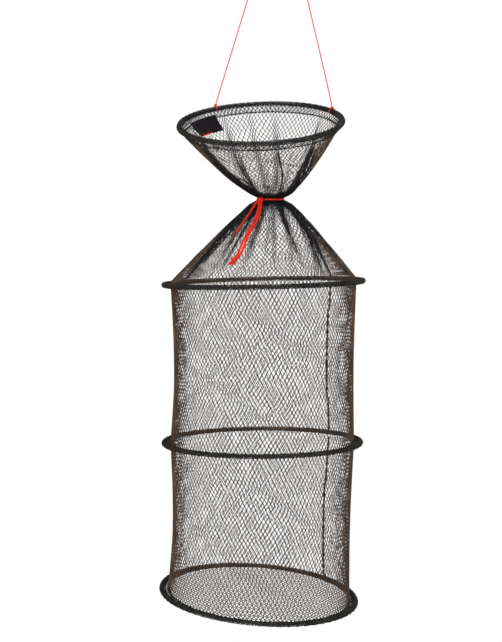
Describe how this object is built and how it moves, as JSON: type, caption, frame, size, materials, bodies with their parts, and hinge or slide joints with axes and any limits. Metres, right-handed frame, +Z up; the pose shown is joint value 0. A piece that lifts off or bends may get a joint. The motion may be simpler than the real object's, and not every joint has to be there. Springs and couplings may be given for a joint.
{
  "type": "keep net",
  "caption": "Round collapsible keep net on wire hoops, drawn in at the neck by a cord and hung from a thin bight of cord.",
  "frame": {"origin": "top of the hanging cord's bight, where a hook or a branch holds the net", "axes": "+Z up, +X to the right and +Y to the back when the net is seen from the front, where its mouth is tipped towards the viewer"},
  "size_m": [0.4146, 0.4606, 1.3169],
  "materials": {
    "netting": "knotted dark twine",
    "hem": "net wrapped round wire",
    "seam_thread": "sewn cord",
    "hoop_steel": "drawn wire",
    "red_cord": "braided cord",
    "sealed_end": "melted cord end",
    "label_cloth": "plain woven tag"
  },
  "bodies": {
    "hanger": {"hanging_cord": "red_cord"},
    "mouth": {"mouth_hoop": "hoop_steel", "mouth_hem_sleeve": "hem", "left_ring_knot": "red_cord", "right_ring_knot": "red_cord", "funnel_net": "netting", "funnel_seam": "seam_thread"},
    "label": {"label_tag": "label_cloth"},
    "neck": {"neck_bundle": "netting", "drawcord_band": "red_cord", "drawcord_knot": "red_cord"},
    "tails": {"long_tail_left_strand": "red_cord", "long_tail_right_strand": "red_cord", "long_tail_end_knot": "red_cord", "short_tail": "red_cord", "short_tail_sealed_end": "sealed_end"},
    "shoulder": {"shoulder_hoop": "hoop_steel", "shoulder_hem_sleeve": "hem", "shoulder_net": "netting", "shoulder_seam": "seam_thread"},
    "middle": {"middle_hoop": "hoop_steel", "middle_hem_sleeve": "hem", "upper_body_net": "netting", "upper_side_seam": "seam_thread"},
    "bottom": {"bottom_hoop": "hoop_steel", "bottom_hem_sleeve": "hem", "lower_body_net": "netting", "lower_side_seam": "seam_thread", "base_net": "netting"}
  },
  "joints": [
    {"name": "net_swing", "type": "hinge", "parent": "hanger", "child": "mouth", "pos_m": [-0.00969, 0.00202, -0.31037], "axis": [0.9654, -0.2569, -0.0446], "range_deg": [-20, 20]},
    {"name": "label_flap", "type": "hinge", "parent": "mouth", "child": "label", "pos_m": [-0.15632, -0.00344, -0.33453], "axis": [-0.5623, -0.7777, -0.281], "range_deg": [0, 50]},
    {"name": "neck_slide", "type": "slide", "parent": "mouth", "child": "neck", "axis": [0, 0, 1], "range_m": [0, 0.09], "deforming": ["funnel_net", "funnel_seam"]},
    {"name": "tails_lift", "type": "hinge", "parent": "neck", "child": "tails", "pos_m": [-0.03509, -0.01882, -0.4936], "axis": [-0.7431, 0.6691, 0], "range_deg": [0, 35]},
    {"name": "shoulder_slide", "type": "slide", "parent": "neck", "child": "shoulder", "axis": [0, 0, 1], "range_m": [0, 0.11], "deforming": ["shoulder_net", "shoulder_seam"]},
    {"name": "middle_slide", "type": "slide", "parent": "shoulder", "child": "middle", "axis": [0, 0, 1], "range_m": [0, 0.285], "deforming": ["upper_body_net", "upper_side_seam"]},
    {"name": "bottom_slide", "type": "slide", "parent": "middle", "child": "bottom", "axis": [0, 0, 1], "range_m": [0, 0.275], "deforming": ["lower_body_net", "lower_side_seam"]}
  ],
  "couplings": [
    {"joint": "tails_lift", "follows": "shoulder_slide", "rad_per_m": 5}
  ]
}
